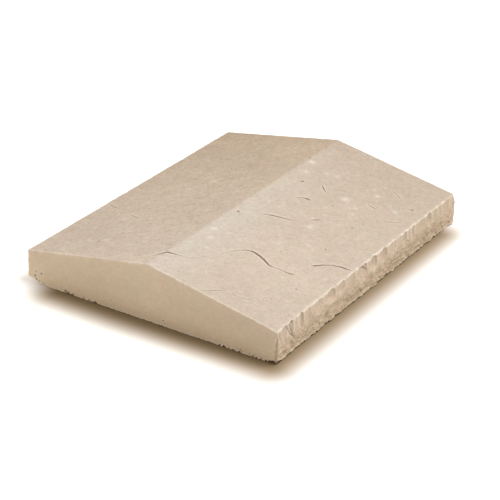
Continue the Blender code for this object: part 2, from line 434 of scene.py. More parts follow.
# Listed holes of a slope (turn is -1) or a side
def placeHoles(holes, turn=1):
    return [(a * mm - halfLength, turn * c * mm, r * mm, d * mm) for a, c, r, d in holes]


def holePoints(holes):
    points = []
    for x, y, radius, _ in holes:
        points.append((x, y))
        for ring, share in enumerate(pits["rings"]):
            count = 6 + 2 * ring
            for n in range(count):
                angle = 2 * math.pi * (n + 0.5 * (ring % 2)) / count
                points.append((x + radius * share * math.cos(angle), y + radius * share * math.sin(angle)))
    return points


# How far holes lower the surface, and the painted shade in them, darker in deeper holes
def holeRelief(holes, points):
    drop = np.zeros(len(points))
    dark = np.zeros(len(points))
    for x, y, radius, depth in holes:
        away = np.hypot(points[:, 0] - x, points[:, 1] - y) / radius
        inside = 1 - easeAll((away - 0.25) / 1.0)
        drop = np.where(np.abs(depth * inside) > np.abs(drop), depth * inside, drop)
        dark = np.maximum(dark, inside * min(1.0, depth / mm))
    return drop, dark


def makeSlopeHoles():
    high = (halfLength - pits["margins"][0], halfWidth - pits["margins"][1])
    low = (-high[0], -high[1])
    return placeHoles(pits["handSet"], -1) + scatterHoles(pits["scattered"], low, high, seeds["pits"])


# Holes of a gable, in its own plane: sideways to the right as seen from outside, and up
def makeEndHoles(end):
    sign = endSigns[end]
    holes = [(sign * y * mm, z * mm, r * mm, d * mm) for y, z, r, d in pinholes[end]]
    reach = halfWidth - pinholes["margin"]
    bottom, top = pinholes["scatterBand"]
    holes += scatterHoles(pinholes["scattered"], (-reach, bottom), (reach, top), seeds[end])
    bottom, top = pinholes["footBand"]
    foot = scatterHoles(pinholes["alongFoot"], (-reach, bottom), (reach, top), seeds[end] + 1)
    return holes + [hole for hole in foot if raggedShare(end, sign * hole[0]) > 0.5]


def makeBlooms():
    spots = [(a * mm - halfLength, -c * mm, length, share) for a, c, length, share in blooms["spots"]]
    chance = random.Random(seeds["blooms"])
    for _ in range(blooms["scattered"]):
        x, y = chance.uniform(-halfLength, halfLength), chance.uniform(-halfWidth, halfWidth)
        length, share = chance.uniform(*blooms["scatterLength"]), chance.uniform(*blooms["scatterStrength"])
        spots.append((x, y, length, share))
    return spots


tracedCracks = [traceCrack(path, number) for number, path in enumerate(cracks["paths"])]
slopeHoles = makeSlopeHoles()
bloomSpots = makeBlooms()


# Wear of the slopes at some places: how far the surface is lowered, and what the finish needs to know:
# painted shade in cracks and pits, painted highlight on the cracks' lips, and pale spots
def slopeWearAndShading(points):
    drop = np.zeros(len(points))
    for layer, (height, pitch) in enumerate(wallCap["waves"]):
        drop += height * wanderAll(points[:, 0], points[:, 1], pitch, 60.0 + layer)
    crackDrop, groove, lipHighlight = crackRelief(tracedCracks, points)
    holeDrop, holeDark = holeRelief(slopeHoles, points)
    dip, run = wallCap["cornerDip"]
    toCorner = np.hypot(points[:, 0] + halfLength, points[:, 1] + halfWidth - chisel["arrisInset"])
    drop += dip * np.clip(1 - toCorner / run, 0, 1) ** 2
    bloom = np.zeros(len(points))
    grain = np.array(blooms["grain"])
    for x, y, length, strength in bloomSpots:
        near = np.flatnonzero(np.abs(points - (x, y)).max(1) < blooms["reach"] * length * mm)
        gap = points[near] - (x, y)
        lengthwise = gap @ grain / blooms["stretch"]
        crosswise = gap @ np.array((grain[1], -grain[0]))
        away = (lengthwise ** 2 + crosswise ** 2) / (length * mm) ** 2
        spot = strength * np.exp(-away * blooms["falloff"])
        bloom[near] = np.maximum(bloom[near], spot)
    return {
        "drop": drop + crackDrop + holeDrop,
        "recessShade": np.maximum(groove, holeDark),
        "lipHighlight": lipHighlight,
        "bloom": bloom,
    }


# Chiselled sides

def chiselStrokes(side):
    order = 1 if side == "right" else -1
    widths, boldness = chisel["widths"][::order], chisel["boldness"][::order]
    chosen = []
    while sum(chosen) + widths[len(chosen) % len(widths)] / 2 < 2 * halfLength:
        chosen.append(widths[len(chosen) % len(widths)])
    fit = 2 * halfLength / sum(chosen)
    chance = random.Random(seeds[side])
    strokes = []
    start, slant = -halfLength, 0.0
    for number, width in enumerate(chosen, 1):
        last = number == len(chosen)
        nextSlant = 0.0 if last else chance.uniform(-chisel["slant"], chisel["slant"])
        end = halfLength if last else start + width * fit
        bold = boldness[number - 1]
        strokes.append({
            "start": start,
            "end": end,
            "slants": (slant, nextSlant),
            "boldness": bold,
            "depth": chance.uniform(*chisel["depth"]) * bold * min(1.0, width / chisel["fullWidth"]),
            "reach": chance.uniform(*chisel["reach"]),
        })
        start, slant = end, nextSlant
    return strokes


def scoopDepth(stroke, along, down):
    across = 2 * along ** chisel["skew"] - 1
    rim = chisel["rim"]
    if down < chisel["middle"]:
        upright = (chisel["middle"] - down) / chisel["arch"]
    else:
        upright = (down - chisel["middle"]) / (stroke["reach"] - chisel["middle"])
        rim = mix(rim, chisel["rimFoot"], ease(chisel["rimBlend"] * upright))
    hollow = max(0.0, 1 - across * across - upright * upright)
    return stroke["depth"] * hollow ** rim


# Broken stone on a chiselled face, rougher towards the foot. Each cell of the pattern leans its own way.
def fracture(x, height, roughShare, seed):
    pitch = chisel["facetPitch"]
    spot = Vector((x / pitch, chisel["facetStretch"] * height / pitch, seed + 0.15))
    centre = noise.voronoi(spot)[1][0]
    gap = spot - centre
    lean = noise.noise_vector(centre * 7.7)
    facet = 0.5 + gap.x * lean.x + gap.y * lean.y
    crumb = wander(x, height, chisel["crumbPitch"], seed + 0.55)
    broken = chisel["facets"] * facet * mix(chisel["facetShare"], 1.0, roughShare)
    return broken + chisel["crumb"] * crumb * mix(chisel["crumbShare"], 1.0, roughShare)


def facePoint(side, stroke, along, down):
    first, second = stroke["slants"]
    x = mix(stroke["start"] + first * down, stroke["end"] + second * down, along)
    toEnd = halfLength - abs(x)
    runs = chisel["cornerRuns"]
    wobble = noise.noise(Vector((x / chisel["spurPitch"], down * 4, seeds[side] + 0.7)))
    x += chisel["spurWobble"] * wobble * ease(toEnd / runs["wobble"])
    height = down * wallCap["eaveHeight"]
    swell = mix(*chisel["swell"][side], 0.5 + x / (2 * halfLength)) * down ** chisel["swellPower"]
    swell += mix(*chisel["flare"][side][x > 0], ease(down / 0.2)) * cornerShare(toEnd, chisel["flareRun"])
    begin, full, fade = chisel["roughBand"]
    roughShare = ease((down - begin) / (full - begin)) * (1 - ease((down - fade) / (1 - fade)))
    hollows = chisel["roughness"] * wander(x, height, chisel["roughPitch"], seeds[side])
    spall = chisel["spall"][x > 0] * cornerShare(toEnd, chisel["spallRun"])
    inset = chisel["arrisInset"] - swell + scoopDepth(stroke, along, down) + hollows * roughShare + spall
    draw = mix(*chisel["draw"], wander(x, 0.0, chisel["drawPitch"], seeds[side] + 0.9))
    begin = chisel["drawStart"]
    atCorner = mix(chisel["cornerDraw"], 1.0, ease(toEnd / runs["draw"]))
    inset += draw * ease((down - begin) / (1 - begin)) * atCorner
    broken = fracture(x, height, ease((down - 0.1) / 0.7), seeds[side])
    inset += broken * ease(down / 0.06) * mix(chisel["cornerShare"], 1.0, ease(toEnd / runs["broken"]))
    return x, max(0.0001, inset)


# How far across the cut of the near right corner a place is: 1 at the corner, 0 beside the cut
def cutShare(x, y, z, distance):
    if x > 0 or y > 0:
        return 0.0
    share = 1 - z / wallCap["eaveHeight"]
    run = mix(cornerCut["topRun"], cornerCut["lowRun"], share)
    run *= mix(*cornerCut["ragged"], wander(z, 0, cornerCut["raggedPitch"], 4.5))
    return max(0.0, 1 - distance / run) * ease((share - cornerCut["start"]) / cornerCut["fadeIn"])


# Wear of an upright corner: how far both of its faces draw in near it
def cornerWear(x, y, z, distance, cutRun=1.0):
    radius = mix(*wallCap["cornerRadius"], wander(x + y, z, wallCap["cornerPitch"], 8.5))
    rounding = (1 - math.sqrt(0.5)) * radius * cornerShare(distance, radius)
    return rounding + cornerCut["depth"] * cutShare(x, y, z, distance / cutRun)


def cornerChip(face, x, y):
    rise, sideRun, endRun = chips["corners"]["far" if x > 0 else "near", "left" if y > 0 else "right"]
    return rise, sideRun if face in sideSigns else endRun


# How much a place of the foot is bitten into
def raggedShare(face, along):
    if face != "near":
        return 1.0
    inside = max(ease((along - low) / 0.01) * ease((high - along) / 0.01) for low, high in chips["ragged"])
    return mix(chips["smoothShare"], 1.0, inside)


def chipHeight(face, x, y, toCorner):
    along = x if face in sideSigns else y
    kind = chips["faces"][face]
    height = mix(*kind["height"], wander(along, 0.0, chips["pitch"], seeds[face]))
    tooth = wander(along, 0.0, chips["toothPitch"], seeds[face] + 0.3)
    bite = max(0.0, tooth - chips["toothLevel"]) / (1 - chips["toothLevel"])
    height += kind["tooth"] * bite * raggedShare(face, along) * ease(toCorner / chips["toothRun"])
    if face == "near":
        place, halfSpan, rise = chips["notch"]
        height += rise * (1 - ease(abs(along - place) / halfSpan))
    rise, run = cornerChip(face, x, y)
    return max(chips["leastHeight"], height + (rise - kind["height"][0]) * (1 - ease(toCorner / run)))


def chipDepth(face, x, y, z, toCorner, atCorner):
    along = x if face in sideSigns else y
    kind = chips["faces"][face]
    depth = mix(*kind["depth"], wander(along, 0.0, chips["pitch"], seeds[face] + 0.4))
    run = cornerChip(face, x, y)[1]
    return mix(depth + kind["undercut"] * z, atCorner, cornerShare(toCorner, run))


def wornRadius(kind, x, y):
    return mix(*wallCap["arrisRadius"][kind], wander(x, y, wallCap["arrisPitch"], 3.5))


# Rounded top arris: from the slope over the arris to the face, along one column
def arrisRings(x, y, inX, inY, radius):
    rings = []
    for angle in (0, 30, 60):
        inward = radius * (1 - math.sin(math.radians(angle)))
        drop = radius * (1 - math.cos(math.radians(angle)))
        px, py = x + inX * inward, y + inY * inward
        rings.append((px, py, slopeHeight(py) - drop))
    return rings


# Broken strip under the lower arris, down to the edge of the bed
def chipRings(low, bed, inX, inY):
    rings = []
    for n in range(1, chips["rings"] + 1):
        share = n / chips["rings"]
        x, y, z = (mix(a, b, share) for a, b in zip(low, bed))
        crumb = chips["crumb"] * wander(x + y, z * 3, chips["crumbPitch"], 17.5) * math.sin(math.pi * share)
        rings.append((x + inX * crumb, y + inY * crumb, z))
    return rings


# One column of a chiselled side, from the slope down to the bed
def sideColumn(side, stroke, along, endSign=0):
    sign = sideSigns[side]
    x0, inset = facePoint(side, stroke, along, 0.0)
    wear = cornerWear(x0, sign, wallCap["eaveHeight"], halfLength - abs(x0))
    y0 = sign * (halfWidth - inset - wear)
    radius = wornRadius("side", x0, y0)
    column = arrisRings(x0 - endSign * wear, y0, -endSign, -sign, radius)
    topZ = slopeHeight(y0)
    start = radius / topZ
    for row in range(wallCap["faceRows"] + 1):
        down = mix(start, 1.0, row / wallCap["faceRows"])
        x, inset = facePoint(side, stroke, along, down)
        toCorner = halfLength - abs(x)
        z = mix(topZ, chipHeight(side, x, sign, toCorner), down)
        wear = cornerWear(x, sign, z, toCorner)
        column.append((x - endSign * wear, sign * (halfWidth - inset - wear), z))
    low = column[-1]
    atCorner = chips["cornerDepth"][side]
    depth = chipDepth(side, *low, halfLength - abs(low[0]), atCorner)
    bed = (low[0] * (1 - atCorner / halfLength), low[1] - sign * depth, 0.0)
    return column + chipRings(low, bed, 0, -sign)


# One column of a gable end, between its two corner columns. Only its arris and its foot are used.
def endColumn(end, share, first, last):
    sign = endSigns[end]
    rows = wallCap["faceRows"]
    arrisRow = len(first) - chips["rings"] - rows - 1
    y0 = mix(first[arrisRow][1], last[arrisRow][1], share)
    x0 = sign * halfLength
    radius = wornRadius("end", x0, y0)
    column = arrisRings(x0, y0, -sign, 0, radius)
    topZ = slopeHeight(y0) - radius
    lowRow = arrisRow + rows
    lowY = mix(first[lowRow][1], last[lowRow][1], share)
    cornerY = first[lowRow][1] if share < 0.5 else last[lowRow][1]
    toCorner = abs(cornerY - lowY)
    lowZ = chipHeight(end, x0, lowY, toCorner)
    for row in range(rows + 1):
        down = row / rows
        column.append((x0, mix(y0, lowY, down), mix(topZ, lowZ, down)))
    low = column[-1]
    leftShare = 0.5 + 0.5 * lowY / abs(cornerY)
    atCorner = mix(chips["cornerDepth"]["right"], chips["cornerDepth"]["left"], leftShare)
    depth = chipDepth(end, *low, toCorner, atCorner)
    bed = (low[0] - sign * depth, low[1] * (1 - atCorner / abs(cornerY)), 0.0)
    return column + chipRings(low, bed, -sign, 0)


# The columns of a side, and how strong the painted highlight is on the spur that each stands on
def sideColumns(side):
    strokes = chiselStrokes(side)
    columns = []
    spurs = []
    for number, stroke in enumerate(strokes):
        pieces = max(5, round((stroke["end"] - stroke["start"]) / wallCap["sideStep"][side]))
        shares = [n / pieces for n in range(pieces)]
        extra = [share / pieces for share in wallCap["cornerColumns"]]
        if number == 0:
            shares[1:1] = extra
        if number == len(strokes) - 1:
            shares += [1 - share for share in extra[::-1]] + [1.0]
        for along in shares:
            endSign = 0
            if number == 0 and along == 0.0:
                endSign = -1
            if number == len(strokes) - 1 and along == 1.0:
                endSign = 1
            columns.append(sideColumn(side, stroke, along, endSign))
            onSpur = number > 0 and along == 0.0
            spurs.append(min(1.0, strokes[number - 1]["boldness"]) * onSpur)
    return columns, spurs


def endColumns(end, first, last):
    pieces = round(2 * halfWidth / wallCap["endStep"][end])
    return [endColumn(end, n / pieces, first, last) for n in range(1, pieces)]


# All columns round the stone, counter-clockwise from above, starting at the near right corner
def allColumns():
    right, rightSpurs = sideColumns("right")
    left, leftSpurs = sideColumns("left")
    far = endColumns("far", right[-1], left[-1])
    near = endColumns("near", left[0], right[0])
    columns = right + far + left[::-1] + near
    faces = ["right"] * len(right) + ["far"] * len(far) + ["left"] * len(left) + ["near"] * len(near)
    spurs = rightSpurs + [0.0] * len(far) + leftSpurs[::-1] + [0.0] * len(near)
    return np.array(columns), faces, np.array(spurs)


# Triangulated patches for the slopes, the gables and the bed

def patchTriangles(loop, inner):
    points = [Vector(p) / mm for p in loop + inner]  # the triangulation works in millimetres
    result = delaunay_2d_cdt(points, [], [list(range(len(loop)))], 1, 1e-5)
    verts, tris, origins = result[0], result[2], result[3]
    index = [o[0] if o else -1 for o in origins]
    assert len(verts) == len(points) and min(index) >= 0, "a patch point merged or was added"
    return [[index[v] for v in tri] for tri in tris]


def insideLoop(points, loop, gap):
    inside = np.zeros(len(points), bool)
    for (x1, y1), (x2, y2) in zip(loop, loop[1:] + loop[:1]):
        if y1 == y2:
            continue
        level = (points[:, 1] > min(y1, y2)) & (points[:, 1] <= max(y1, y2))
        inside ^= level & (points[:, 0] < x1 + (points[:, 1] - y1) * (x2 - x1) / (y2 - y1))
    return inside & (nearestDistance(loop, points) > gap)


def jitteredGrid(xs, ys, spread, seed):
    gridX, gridY = (a.ravel() for a in np.meshgrid(xs, ys))
    rng = np.random.default_rng(seed)
    shift = rng.uniform(-spread, spread, (gridX.size, 2))
    return np.column_stack((gridX, gridY)) + shift


# Leaves out the points that stand too near to one kept before
def thinOut(points, gap):
    cells = {}
    kept = []
    steps = [(i, j) for i in (-1, 0, 1) for j in (-1, 0, 1)]
    for x, y in points:
        column, row = math.floor(x / gap), math.floor(y / gap)
        around = [p for i, j in steps for p in cells.get((column + i, row + j), ())]
        if all(math.dist((x, y), p) >= gap for p in around):
            cells.setdefault((column, row), []).append((x, y))
            kept.append((x, y))
    return kept


# Grid points with the finer points round cracks and holes set among them
def patchPoints(grid, fine, loop, clear, gap):
    fine = np.array(thinOut(fine, wallCap["fineGaps"][0]))
    fine = fine[insideLoop(fine, loop, wallCap["fineGaps"][1])]
    grid = grid[insideLoop(grid, loop, gap)]
    grid = grid[nearestDistance(fine.tolist(), grid.tolist()) > clear]
    return np.vstack((grid, fine))


def slopePoints(loop):
    step = wallCap["slopeStep"]
    ridgeRows = list(wallCap["ridgeRows"])
    rows = list(np.arange(ridgeRows[-1] + step, halfWidth, step))
    xs = np.arange(-halfLength + step / 2, halfLength, step)
    slopes = jitteredGrid(xs, np.array([-r for r in rows[::-1]] + rows), 0.2 * step, seeds["slopes"])
    ridge = jitteredGrid(xs, np.array([-r for r in ridgeRows[:0:-1]] + ridgeRows), 0.0, seeds["slopes"])
    grid = np.vstack((slopes, ridge))
    fine = holePoints(slopeHoles) + crackRows(tracedCracks)
    return patchPoints(grid, fine, loop, clear=0.0012, gap=0.0010)


def endPoints(end, loop):
    step = wallCap["endGridStep"]
    us = np.arange(-halfWidth + step / 2, halfWidth, step)
    vs = np.arange(step, ridgeHeight, step)
    grid = jitteredGrid(us, vs, 0.22 * step, seeds[end])
    outline = np.array(loop)
    widest = np.abs(outline[:, 0]).max()
    fine = holePoints(makeEndHoles(end))
    for inward in wallCap["edgeRows"]:
        for sign in (-1, 1):
            edge = outline[np.abs(outline[:, 0] - sign * widest) < wallCap["edgeBand"]]
            fine += [(u - sign * inward, v) for u, v in edge]
    return patchPoints(grid, fine, loop, clear=0.0013, gap=0.0009)


def bedPoints(loop):
    step = wallCap["bedStep"]
    xs = np.arange(-halfLength + step, halfLength, step)
    ys = np.arange(-halfWidth + step, halfWidth, step)
    grid = jitteredGrid(xs, ys, 0.3 * step, seeds["bed"])
    return grid[insideLoop(grid, loop, gap=0.003)]


# How far a gable stands in at some places of its own plane, and how dark its holes and the cut of its
# corner are painted, as shade
def endWearAndShading(end, points, corners):
    drop, dark = holeRelief(makeEndHoles(end), points)
    for layer, (height, pitch) in enumerate(wallCap["endWaves"]):
        drop += height * wanderAll(points[:, 0], points[:, 1], pitch, seeds[end] + 0.11 * (layer + 1))
    sign = endSigns[end]
    for n, (u, v) in enumerate(points):
        toCorner = min(abs(u - np.interp(v, heights, places)) for heights, places in corners)
        drop[n] += cornerWear(sign, sign * u, v, toCorner, cornerCut["gable"])
        cut = cutShare(sign, sign * u, v, toCorner / cornerCut["gable"])
        dark[n] = max(dark[n], cornerCut["cutShade"] * ease(2 * cut))
    return drop, dark


# Creases, dents and the cut corner of a chiselled side: how far it stands in, how much painted shade and
# how much painted highlight it gets
def sideWearAndShading(side, points):
    traced = [traceCrack(path, number, 1) for number, path in enumerate(chisel["creases"][side])]
    drop, dark, lipHighlight = crackRelief(traced, points, chisel["creaseWidth"])
    dentDrop, dentDark = holeRelief(placeHoles(chisel["dents"][side]), points)
    for n, (x, z) in enumerate(points):
        toCorner = halfLength - abs(x)
        if toCorner < chisel["cornerRuns"]["cut"]:
            cut = cutShare(x, sideSigns[side], z, toCorner)
            dark[n] = max(dark[n], cornerCut["cutShade"] * ease(2 * cut))
    return drop + dentDrop, np.maximum(dark, dentDark), paleArris["crease"] * lipHighlight


# The pale line of an arris, partly wear and partly painted highlight, comes and goes
def arrisWearAndHighlight(xs, ys):
    shares = easeAll(2.2 * wanderAll(xs, ys, paleArris["wornPitch"], 9.5) - 0.6)
    return mix(*paleArris["worn"], shares)


def buildStone():
    columns, faces, spurs = allColumns()
    count, ringCount = columns.shape[:2]
    arrisRows = 3
    lowRow = ringCount - 1 - chips["rings"]
    print("stone:", count, "columns,", ringCount, "rings")

    # the slopes' wear goes on over the top arris and dies out down the faces
    for ring in range(arrisRows):
        columns[:, ring, 2] -= slopeWearAndShading(columns[:, ring, :2])["drop"]
    edgeDrop = slopeWearAndShading(columns[:, arrisRows, :2])["drop"]
    for ring in range(arrisRows, lowRow):
        below = columns[:, arrisRows, 2] - columns[:, ring, 2]
        columns[:, ring, 2] -= edgeDrop * (1 - easeAll(below / wallCap["wearRun"]))

    recessShade, pale = np.zeros((2, count, ringCount))
    for side, sign in sideSigns.items():
        own = [n for n in range(count) if faces[n] == side]
        block = columns[own, arrisRows:lowRow + 1]
        drop, dark, light = sideWearAndShading(side, block[:, :, [0, 2]].reshape(-1, 2))
        block[:, :, 1] -= sign * drop.reshape(block.shape[:2])
        columns[own, arrisRows:lowRow + 1] = block
        recessShade[own, arrisRows:lowRow + 1] = dark.reshape(block.shape[:2])
        pale[own, arrisRows:lowRow + 1] = light.reshape(block.shape[:2])
    # the pale arris: partly wear, partly painted highlight, stronger on the sides than on the gables
    onSide = np.array([face in sideSigns for face in faces])
    arrisTone = np.where(onSide, paleArris["side"], paleArris["end"])
    arrisTone = (arrisTone * arrisWearAndHighlight(columns[:, 0, 0], columns[:, 0, 1]))[:, None]
    paleRows = len(paleArris["rings"])
    pale[:, :paleRows] = np.maximum(pale[:, :paleRows], arrisTone * paleArris["rings"])
    down = np.linspace(0, 1, lowRow - arrisRows + 1)
    begin, run = paleArris["spurReach"]
    # painted highlight on the spurs, fading down the face
    spurHighlight = paleArris["spur"] * spurs[:, None] * (1 - easeAll((down - begin) / run))
    pale[:, arrisRows:lowRow + 1] = np.maximum(pale[:, arrisRows:lowRow + 1], spurHighlight)
    # painted highlight along the foot
    pale[:, lowRow] = np.maximum(pale[:, lowRow], paleArris["foot"])

    coords = columns.transpose(1, 0, 2).reshape(-1, 3).tolist()  # ring by ring
    recessShade, pale = recessShade.T.ravel().tolist(), pale.T.ravel().tolist()
    isEnd = [face in endSigns for face in faces]
    polygons = []
    for ring in range(ringCount - 1):
        for n in range(count):
            after = (n + 1) % count
            if arrisRows <= ring < lowRow and (isEnd[n] or isEnd[after]):
                continue
            a, b = ring * count + n, ring * count + after
            polygons.append((a, a + count, b + count, b))

    def addPatch(loopIndex, loop, inner, places, marks, light, flip=False):
        index = loopIndex + list(range(len(coords), len(coords) + len(places)))
        coords.extend(places)
        recessShade.extend(marks)
        pale.extend(light)
        for tri in patchTriangles(loop, inner):
            corners = tri[::-1] if flip else tri
            polygons.append(tuple(index[v] for v in corners))
        print("patch:", len(inner), "inner points")

    topLoop = [tuple(coords[n][:2]) for n in range(count)]
    inner = slopePoints(topLoop)
    wear = slopeWearAndShading(inner)
    heights = np.array([slopeHeight(y) for y in inner[:, 1]]) - wear["drop"]
    toArris = halfWidth - chisel["arrisInset"] - np.abs(inner[:, 1])
    # painted highlight along the arris, partly wear, fading up the slope
    light = paleArris["side"] * arrisWearAndHighlight(*inner.T) * np.exp(-np.clip(toArris, 0, None) / paleArris["fade"])
    places = np.column_stack((inner, heights)).tolist()
    addPatch(list(range(count)), topLoop, inner.tolist(), places, wear["recessShade"], light)

    for end, sign in endSigns.items():
        own = [n for n in range(count) if faces[n] == end]
        span = [own[0] - 1] + own + [(own[-1] + 1) % count]
        loopIndex = [lowRow * count + n for n in span]
        loopIndex += [ring * count + span[-1] for ring in range(lowRow - 1, arrisRows, -1)]
        loopIndex += [arrisRows * count + n for n in span[::-1]]
        loopIndex += [ring * count + span[0] for ring in range(arrisRows + 1, lowRow)]
        loop = [(sign * coords[v][1], coords[v][2]) for v in loopIndex]
        sides = []
        for column in (span[0], span[-1]):
            upright = [coords[ring * count + column] for ring in range(arrisRows, lowRow + 1)]
            sides.append(tuple(zip(*sorted((z, sign * y) for _, y, z in upright))))
        inner = endPoints(end, loop)
        drop, dark = endWearAndShading(end, inner, sides)
        places = [(sign * (halfLength - d), sign * u, v) for (u, v), d in zip(inner, drop)]
        addPatch(loopIndex, loop, inner.tolist(), places, dark, np.zeros(len(inner)))
        edgeDrop, _ = endWearAndShading(end, np.array(loop), sides)
        for v, d in zip(loopIndex, edgeDrop):
            if v % count in own:
                coords[v][0] -= sign * d

    bedRow = (ringCount - 1) * count
    bedLoop = [tuple(coords[bedRow + n][:2]) for n in range(count)]
    inner = bedPoints(bedLoop)
    depth, pitch = wallCap["bedHollow"]
    hollow = depth * wanderAll(inner[:, 0], inner[:, 1], pitch, 71.5)
    places = np.column_stack((inner, hollow)).tolist()
    plain = np.zeros(len(inner))
    addPatch([bedRow + n for n in range(count)], bedLoop, inner.tolist(), places, plain, plain, flip=True)
    lowRing = [lowRow * count + n for n in range(count)]
    return coords, polygons, recessShade, pale, lowRing


# The lower arris is sharp: smooth shading stops there
def sharpen(mesh, ring):
    following = dict(zip(ring, ring[1:] + ring[:1]))
    ends = [tuple(edge.vertices) for edge in mesh.edges]
    sharp = [following.get(a) == b or following.get(b) == a for a, b in ends]
    mesh.attributes.new("sharp_edge", "BOOLEAN", "EDGE").data.foreach_set("value", sharp)


def makeMesh():
    coords, polygons, recessShade, pale, lowRing = buildStone()
    used = sorted({v for polygon in polygons for v in polygon})
    place = {v: n for n, v in enumerate(used)}
    mesh = bpy.data.meshes.new("wallCap")
    mesh.from_pydata([coords[v] for v in used], [], [[place[v] for v in p] for p in polygons])
    mesh.validate()
    mesh.update()
    mesh.shade_smooth()
    sharpen(mesh, [place[v] for v in lowRing])
    addMarks(mesh, np.array(recessShade)[used], np.array(pale)[used])
    return mesh


def readAll(items, name, width, kind=float):
    values = np.empty(len(items) * width, kind)
    items.foreach_get(name, values)
    return values.reshape(-1, width)


marks = {
    "fullBulge": 0.25,
    "ownShare": 0.6,  # of a place's own bulge, the rest is that of its neighbours
    "topNormal": 0.9,
    "roughGain": 1.6,
}


# Marks for the finish: where the surface bulges, for a painted highlight, or is hollow, for painted shade,
# and what part of the stone it is
def addMarks(mesh, recessShade, pale):
    count = len(mesh.vertices)
    places = readAll(mesh.vertices, "co", 3)
    normals = readAll(mesh.vertex_normals, "vector", 3)
    a, b = readAll(mesh.edges, "vertices", 2, int).T
    gap = places[b] - places[a]
    gap /= np.linalg.norm(gap, axis=1)[:, None]
    degree = np.bincount(a, minlength=count) + np.bincount(b, minlength=count)
    bulge = np.bincount(a, -(gap * normals[a]).sum(1), count)
    bulge = (bulge + np.bincount(b, (gap * normals[b]).sum(1), count)) / degree
    around = (np.bincount(a, bulge[b], count) + np.bincount(b, bulge[a], count)) / degree
    bulge = (marks["ownShare"] * bulge + (1 - marks["ownShare"]) * around) / marks["fullBulge"]
    top = normals[:, 2] > marks["topNormal"]
    wear = slopeWearAndShading(places[:, :2])
    values = {
        "convexHighlight": np.clip(bulge, 0, 1),
        "hollow": np.clip(-bulge, 0, 1),
        "recessShade": np.clip(np.where(top, wear["recessShade"], recessShade), 0, 1),
        "lipHighlight": wear["lipHighlight"] * top,
        "pale": np.clip(pale, 0, 1),
        "bloom": wear["bloom"] * top,
        "slope": top * 1.0,
        "rough": np.clip(np.abs(normals[:, 1]) * marks["roughGain"], 0, 1) * ~top,
    }
    for name, value in values.items():
        layer = mesh.attributes.new(name, "FLOAT", "POINT")
        layer.data.foreach_set("value", value.astype(np.float32))


mesh = makeMesh()
print("triangles:", sum(len(p.vertices) - 2 for p in mesh.polygons))
cap = bpy.data.objects.new("wallCap", mesh)
bpy.context.scene.collection.objects.link(cap)


# Finish of the cast stone. Amounts of tone are shares of the colour's own brightness.
finish = {
    "grainAngle": math.atan2(*blooms["grain"][::-1]),
    "scales": {"clouds": 11.0, "patches": 55.0, "mottle": 190.0, "grain": 850.0},
    "onSlope": {"clouds": 0.14, "patches": 0.19, "mottle": 0.41, "grain": 0.90},
    "slopeContrast": (0.84, 1.18),  # of all that, right and left of the ridge
    "onFaces": {"clouds": 0.10, "patches": 0.12, "mottle": 0.18, "grain": 0.35},
    "dark": (0.225, 0.180, 0.138),
    "middle": (0.458, 0.387, 0.318),
    "light": (0.690, 0.600, 0.510),
    "pinkish": (1.015, 0.992, 0.998),
    "olive": (0.988, 1.004, 0.978),
    # the faces' tones: partly their own, partly painted light that makes them lighter towards the foot,
    # where the bounce light is weak
    "sideTints": ((1.195, 1.098, 0.957), (1.070, 1.000, 0.906)),  # at the foot and under the top arris
    "endTints": ((1.075, 1.062, 0.972), (0.974, 0.958, 0.884)),
    "farLeft": (0.874, 0.810, 0.732),
    "farRight": (0.851, 0.833, 0.810),
    "ridge": (1.030, 1.075, 1.120),  # the right slope along the ridge
    # colour of the painted highlight on edges, bulges and crack lips, partly wear on the edges
    "rimColour": (0.640, 0.580, 0.505),
    "bloomColour": (0.650, 0.610, 0.550),
    # colour of the painted shade in cracks, holes and hollows
    "paintedShadeColour": (0.125, 0.088, 0.055),
    "ridgeBand": (-0.004, 0.004),  # Y where the right slope's look changes into the left one's
    "heightBand": (0.012, 0.037),
    "farStart": {"left": -0.17, "right": -0.10},  # X where the duller far end begins
    "farOnFaces": 0.7,
    "nearRidge": (-0.085, -0.010),
    "hue": {"scale": 32.0, "gain": 3.0},
    "patchy": {"scale": 260.0, "gain": 2.5, "least": 0.6, "more": 0.8},
    # bulges, crack lips and pale edges take a painted highlight, the pale edges partly wear; hollows and
    # recesses take painted shade
    "amounts": {"bloom": 0.75, "convexHighlight": 0.65, "lipHighlight": 0.30, "pale": 0.70, "hollow": 0.28, "recessShade": 0.85},
    "roughTone": 0.15,  # more tone of every kind on the chiselled sides
    "roughness": (0.78, 0.94),
    "crumb": {"scale": 420.0, "amount": 2.0},
    "bump": {"Strength": 0.55, "Distance": 0.0004},
}


def addNode(tree, kind, sockets=None, **settings):
    made = tree.nodes.new("ShaderNode" + kind)
    for name, value in settings.items():
        setattr(made, name, value)
    for key, value in (sockets or {}).items():
        if isinstance(value, bpy.types.NodeSocket):
            tree.links.new(value, made.inputs[key])
        else:
            made.inputs[key].default_value = value
    return made


def calc(tree, operation, *values, clamp=False):
    return addNode(tree, "Math", dict(enumerate(values)), operation=operation, use_clamp=clamp).outputs[0]


# A mask with its contrast raised about the middle
def spread(tree, value, gain):
    return calc(tree, "MULTIPLY_ADD", value, gain, 0.5 - 0.5 * gain, clamp=True)


# A mask that rises from 0 to 1 between two values
def ramp01(tree, value, low, high):
    return addNode(tree, "MapRange", {"Value": value, "From Min": low, "From Max": high}).outputs[0]


def blendColours(tree, factor, a, b, blend="MIX"):
    a, b = ((*c, 1) if isinstance(c, tuple) else c for c in (a, b))
    return addNode(tree, "Mix", {0: factor, 6: a, 7: b}, data_type="RGBA", blend_type=blend).outputs[2]


def multiply(tree, a, b, clamp=False):
    return calc(tree, "MULTIPLY", a, b, clamp=clamp)


def tinted(tree, colour, tint):
    return blendColours(tree, 1.0, colour, tint, "MULTIPLY")


